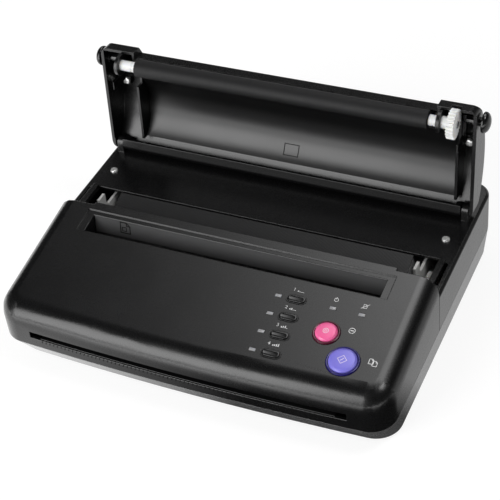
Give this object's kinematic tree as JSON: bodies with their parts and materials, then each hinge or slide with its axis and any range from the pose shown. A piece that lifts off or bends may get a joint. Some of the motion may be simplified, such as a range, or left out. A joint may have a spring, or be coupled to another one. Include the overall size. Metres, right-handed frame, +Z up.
{
  "type": "thermal stencil copier",
  "caption": "Low desktop copier with a sloping control panel, a feed throat and exit slot, and a domed hinged cover that carries a platen roller down onto a fixed thermal head.",
  "frame": {"origin": "on the table at the centre of the footprint of the whole machine, below its middle plane", "axes": "+X to the right as the user sees it, along the rollers; +Y to the rear; +Z up"},
  "size_m": [0.2944, 0.226, 0.1437],
  "materials": {
    "case_black": "satin moulded",
    "base_black": "fine texture",
    "cover_black": "satin moulded",
    "inner_black": "fine texture",
    "key_black": "gloss",
    "key_pink": "satin",
    "key_violet": "satin",
    "ring_maroon": "satin",
    "ring_navy": "satin",
    "lamp_grey": "frosted",
    "nylon_white": "smooth",
    "steel": "ground",
    "plated_steel": "zinc plated sheet",
    "roller_rubber": "ground",
    "foot_rubber": "moulded",
    "sink_aluminium": "extruded",
    "head_ceramic": "glazed",
    "glass_clear": "polished",
    "board_green": "lacquered",
    "switch_grey": "smooth",
    "motor_grey": "plain"
  },
  "bodies": {
    "case": {"base_pan": "base_black", "rubber_feet": "foot_rubber", "front_cover": "case_black", "rear_cover": "case_black", "deck_screws": "steel", "case_screws": "steel", "pill_rims": "key_black", "stop_bezel": "ring_maroon", "start_bezel": "ring_navy", "lamp_lenses": "lamp_grey", "control_board": "board_green", "key_switches": "switch_grey", "gear_studs": "steel", "side_frame_left": "plated_steel", "side_frame_right": "plated_steel", "thermal_head": "head_ceramic", "heat_sink": "sink_aluminium", "head_bracket": "plated_steel", "head_springs": "plated_steel", "feed_chute": "inner_black", "scanner_bar": "inner_black", "scanner_glass": "glass_clear", "stepper_motor": "motor_grey", "main_board": "board_green", "power_board": "board_green", "power_inlet": "switch_grey", "switch_frame": "switch_grey"},
    "cover": {"cover_shell": "cover_black", "cover_inner_sheet": "inner_black", "roller_bracket_left": "inner_black", "roller_bracket_right": "inner_black", "roller_bushes": "nylon_white", "cover_screws": "steel", "hinge_pins": "steel"},
    "platen": {"platen_roller": "roller_rubber", "platen_shaft": "steel", "platen_gear": "nylon_white"},
    "release_left": {"release_button_left": "key_black", "latch_hook_left": "key_black"},
    "release_right": {"release_button_right": "key_black", "latch_hook_right": "key_black"},
    "pill_key_1": {"pill_button_1": "key_black"},
    "pill_key_2": {"pill_button_2": "key_black"},
    "pill_key_3": {"pill_button_3": "key_black"},
    "pill_key_4": {"pill_button_4": "key_black"},
    "stop_key": {"stop_button": "key_pink"},
    "start_key": {"start_button": "key_violet"},
    "feed": {"feed_roller": "roller_rubber", "feed_shaft": "steel", "feed_gear": "nylon_white"},
    "large_idler": {"large_idler_gear": "nylon_white"},
    "front_idler": {"front_idler_gear": "nylon_white"},
    "drive": {"drive_gear": "nylon_white"},
    "rear_idler": {"rear_idler_gear": "nylon_white"},
    "motor_rotor": {"motor_pinion": "nylon_white", "motor_shaft": "steel"},
    "rocker": {"power_rocker": "key_black"}
  },
  "joints": [
    {"name": "cover_hinge", "type": "hinge", "parent": "case", "child": "cover", "pos_m": [0, 0.0725, 0.0605], "axis": [1, 0, 0], "range_deg": [0, 94.8]},
    {"name": "platen_spin", "type": "hinge", "parent": "cover", "child": "platen", "pos_m": [0, 0.06899, 0.13345], "axis": [1, 0, 0], "continuous": true},
    {"name": "release_left_push", "type": "slide", "parent": "cover", "child": "release_left", "axis": [1, 0, 0], "range_m": [0, 0.0018], "stiffness_N_per_m": 300},
    {"name": "release_right_push", "type": "slide", "parent": "cover", "child": "release_right", "axis": [-1, 0, 0], "range_m": [0, 0.0018], "stiffness_N_per_m": 300},
    {"name": "pill_key_1_push", "type": "slide", "parent": "case", "child": "pill_key_1", "axis": [0, 0.1657, -0.9862], "range_m": [0, 0.0008], "stiffness_N_per_m": 300},
    {"name": "pill_key_2_push", "type": "slide", "parent": "case", "child": "pill_key_2", "axis": [0, 0.1657, -0.9862], "range_m": [0, 0.0008], "stiffness_N_per_m": 300},
    {"name": "pill_key_3_push", "type": "slide", "parent": "case", "child": "pill_key_3", "axis": [0, 0.1657, -0.9862], "range_m": [0, 0.0008], "stiffness_N_per_m": 300},
    {"name": "pill_key_4_push", "type": "slide", "parent": "case", "child": "pill_key_4", "axis": [0, 0.1657, -0.9862], "range_m": [0, 0.0008], "stiffness_N_per_m": 300},
    {"name": "stop_key_push", "type": "slide", "parent": "case", "child": "stop_key", "axis": [0, 0.1657, -0.9862], "range_m": [0, 0.0008], "stiffness_N_per_m": 400},
    {"name": "start_key_push", "type": "slide", "parent": "case", "child": "start_key", "axis": [0, 0.1657, -0.9862], "range_m": [0, 0.0008], "stiffness_N_per_m": 400},
    {"name": "feed_spin", "type": "hinge", "parent": "case", "child": "feed", "pos_m": [0, -0.064, 0.0381], "axis": [1, 0, 0], "continuous": true},
    {"name": "large_idler_spin", "type": "hinge", "parent": "case", "child": "large_idler", "pos_m": [0, -0.03763, 0.0285], "axis": [1, 0, 0], "continuous": true},
    {"name": "front_idler_spin", "type": "hinge", "parent": "case", "child": "front_idler", "pos_m": [0, -0.01404, 0.01842], "axis": [1, 0, 0], "continuous": true},
    {"name": "drive_gear_spin", "type": "hinge", "parent": "case", "child": "drive", "pos_m": [0, 0.0001, 0.0315], "axis": [1, 0, 0], "continuous": true},
    {"name": "rear_idler_spin", "type": "hinge", "parent": "case", "child": "rear_idler", "pos_m": [0, 0.01931, 0.03284], "axis": [1, 0, 0], "continuous": true},
    {"name": "motor_spin", "type": "hinge", "parent": "case", "child": "motor_rotor", "pos_m": [0, 0.03405, 0.02889], "axis": [1, 0, 0], "continuous": true},
    {"name": "power_rocker_tip", "type": "hinge", "parent": "case", "child": "rocker", "pos_m": [-0.052, 0.1096, 0.038], "axis": [1, 0, 0], "range_deg": [-20, 0]}
  ],
  "couplings": [
    {"joint": "large_idler_spin", "follows": "feed_spin", "ratio": -0.75},
    {"joint": "front_idler_spin", "follows": "feed_spin", "ratio": 1.25},
    {"joint": "drive_gear_spin", "follows": "feed_spin", "ratio": -1.25},
    {"joint": "rear_idler_spin", "follows": "feed_spin", "ratio": 1.25},
    {"joint": "motor_spin", "follows": "feed_spin", "ratio": -2.1429}
  ]
}
